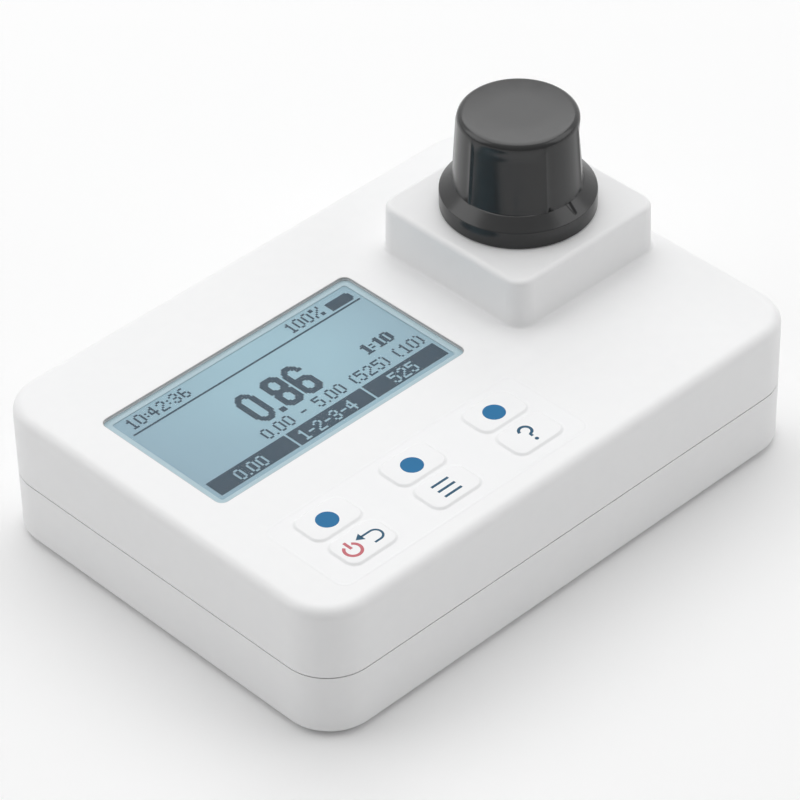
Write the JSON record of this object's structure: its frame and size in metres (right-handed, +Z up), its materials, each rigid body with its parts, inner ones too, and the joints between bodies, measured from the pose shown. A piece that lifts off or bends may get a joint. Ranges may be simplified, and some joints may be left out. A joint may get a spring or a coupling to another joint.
{
  "type": "portable colorimeter",
  "caption": "Hand-sized colorimeter: white two-part case with display and keypad, and a raised housing whose glass cuvette lifts out under its black cap.",
  "frame": {"origin": "under the middle of the case, on the plane that the four feet stand on", "axes": "+Z up; +X along the long side, with the cuvette housing at the +X end; the user sits at -Y"},
  "size_m": [0.1424, 0.1024, 0.0702],
  "materials": {
    "white_case": "fine satin moulded ABS",
    "white_membrane": "satin polyester film",
    "white_key": "soft satin",
    "dark_rubber": "matt",
    "steel_screw": "zinc plated",
    "clear_window": "hard coated, clear",
    "white_foam": "adhesive film",
    "lcd_glass": "pale blue-green polariser",
    "light_guide": "diffusing acrylic",
    "black_plastic": "matt moulded",
    "steel_dome": "bright",
    "circuit_board": "solder mask",
    "chip_black": "moulded epoxy",
    "optical_glass": "polished",
    "led_epoxy": "clear epoxy",
    "filter_glass": "coated",
    "detector_can": "nickel plated",
    "cell_jacket": "plain film jacket",
    "contact_metal": "nickel plated spring strip",
    "cuvette_glass": "polished",
    "white_stopper": "polyethylene",
    "cap_black": "smooth moulded"
  },
  "bodies": {
    "case": {"top_case": "white_case", "bottom_case": "white_case", "case_gasket": "dark_rubber", "case_screws": "steel_screw", "rubber_feet": "dark_rubber", "display_window": "clear_window", "window_seal": "white_foam", "lcd_glass": "lcd_glass", "backlight_panel": "light_guide", "display_connector": "dark_rubber", "lcd_holder": "black_plastic", "keypad_overlay": "white_membrane", "dome_switches": "steel_dome", "main_board": "circuit_board", "board_screws": "steel_screw", "microcontroller": "chip_black", "optical_block": "black_plastic", "holder_screws": "steel_screw", "well_seal": "dark_rubber", "collimating_lens": "optical_glass", "beam_splitter": "optical_glass", "reference_detector": "chip_black", "led": "led_epoxy", "led_board": "circuit_board", "interference_filter": "filter_glass", "sample_detector": "detector_can", "detector_board": "circuit_board", "optics_screws": "steel_screw", "battery_cells": "cell_jacket", "battery_springs": "contact_metal", "battery_contacts": "contact_metal", "battery_cover": "white_case", "battery_cover_seal": "dark_rubber", "battery_cover_screws": "steel_screw"},
    "left_soft_key": {"left_soft_key": "white_key"},
    "middle_soft_key": {"middle_soft_key": "white_key"},
    "right_soft_key": {"right_soft_key": "white_key"},
    "power_key": {"power_key": "white_key"},
    "menu_key": {"menu_key": "white_key"},
    "help_key": {"help_key": "white_key"},
    "cuvette": {"cuvette": "cuvette_glass"},
    "stopper": {"stopper": "white_stopper"},
    "cap": {"cap": "cap_black"}
  },
  "joints": [
    {"name": "left_soft_key_press", "type": "slide", "parent": "case", "child": "left_soft_key", "axis": [0, 0, -1], "range_m": [0, 0.0005], "stiffness_N_per_m": 900, "springref_m": -0.0012},
    {"name": "middle_soft_key_press", "type": "slide", "parent": "case", "child": "middle_soft_key", "axis": [0, 0, -1], "range_m": [0, 0.0005], "stiffness_N_per_m": 900, "springref_m": -0.0012},
    {"name": "right_soft_key_press", "type": "slide", "parent": "case", "child": "right_soft_key", "axis": [0, 0, -1], "range_m": [0, 0.0005], "stiffness_N_per_m": 900, "springref_m": -0.0012},
    {"name": "power_key_press", "type": "slide", "parent": "case", "child": "power_key", "axis": [0, 0, -1], "range_m": [0, 0.0005], "stiffness_N_per_m": 900, "springref_m": -0.0012},
    {"name": "menu_key_press", "type": "slide", "parent": "case", "child": "menu_key", "axis": [0, 0, -1], "range_m": [0, 0.0005], "stiffness_N_per_m": 900, "springref_m": -0.0012},
    {"name": "help_key_press", "type": "slide", "parent": "case", "child": "help_key", "axis": [0, 0, -1], "range_m": [0, 0.0005], "stiffness_N_per_m": 900, "springref_m": -0.0012},
    {"name": "cuvette_lift", "type": "slide", "parent": "case", "child": "cuvette", "axis": [0, 0, 1], "range_m": [0, 0.045]},
    {"name": "stopper_lift", "type": "slide", "parent": "cuvette", "child": "stopper", "axis": [0, 0, 1], "range_m": [0, 0.014]},
    {"name": "cap_lift", "type": "slide", "parent": "stopper", "child": "cap", "axis": [0, 0, 1], "range_m": [0, 0.018]}
  ]
}
